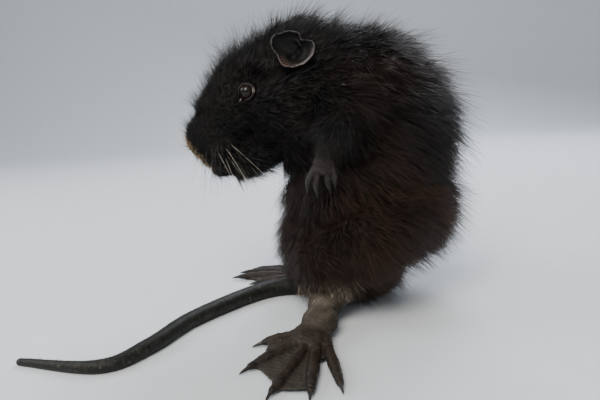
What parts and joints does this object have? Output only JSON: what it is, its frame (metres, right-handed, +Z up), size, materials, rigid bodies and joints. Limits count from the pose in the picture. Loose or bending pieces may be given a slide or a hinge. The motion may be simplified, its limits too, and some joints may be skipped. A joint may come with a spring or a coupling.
{
  "type": "nutria model",
  "caption": "Life-size model of a young black nutria that sits on its haunches, with a round cupped ear, webbed hind feet and a thin scaly tail.",
  "frame": {"origin": "on the flat under the seat, below the middle of the trunk, at the floor", "axes": "+Z up, the animal faces -X and its left side is towards -Y"},
  "size_m": [0.2643, 0.195, 0.1795],
  "materials": {
    "fur": "matte",
    "bare_skin": "satin",
    "ear_skin": "matte",
    "tail_skin": "matte",
    "eye": "gloss",
    "claw": "satin"
  },
  "bodies": {
    "root": {"abdomen": "fur", "claw_fore_L_1": "claw", "claw_fore_L_2": "claw", "claw_fore_L_3": "claw", "claw_fore_L_4": "claw", "claw_fore_R_1": "claw", "claw_fore_R_2": "claw", "claw_fore_R_3": "claw", "claw_fore_R_4": "claw", "claw_hind_L_1": "claw", "claw_hind_L_2": "claw", "claw_hind_L_3": "claw", "claw_hind_L_4": "claw", "claw_hind_L_5": "claw", "claw_hind_R_1": "claw", "claw_hind_R_2": "claw", "claw_hind_R_3": "claw", "claw_hind_R_4": "claw", "claw_hind_R_5": "claw", "ear_L": "ear_skin", "ear_R": "ear_skin", "eye_L": "eye", "eye_R": "eye", "foreleg_L": "fur", "foreleg_R": "fur", "forepaw_L": "bare_skin", "forepaw_R": "bare_skin", "head": "fur", "hind_foot_L": "bare_skin", "hind_foot_R": "bare_skin", "hind_leg_L": "fur", "hind_leg_R": "fur", "neck": "fur", "tail_end": "tail_skin", "tail_middle": "tail_skin", "tail_root": "tail_skin", "thorax": "fur"}
  },
  "joints": []
}
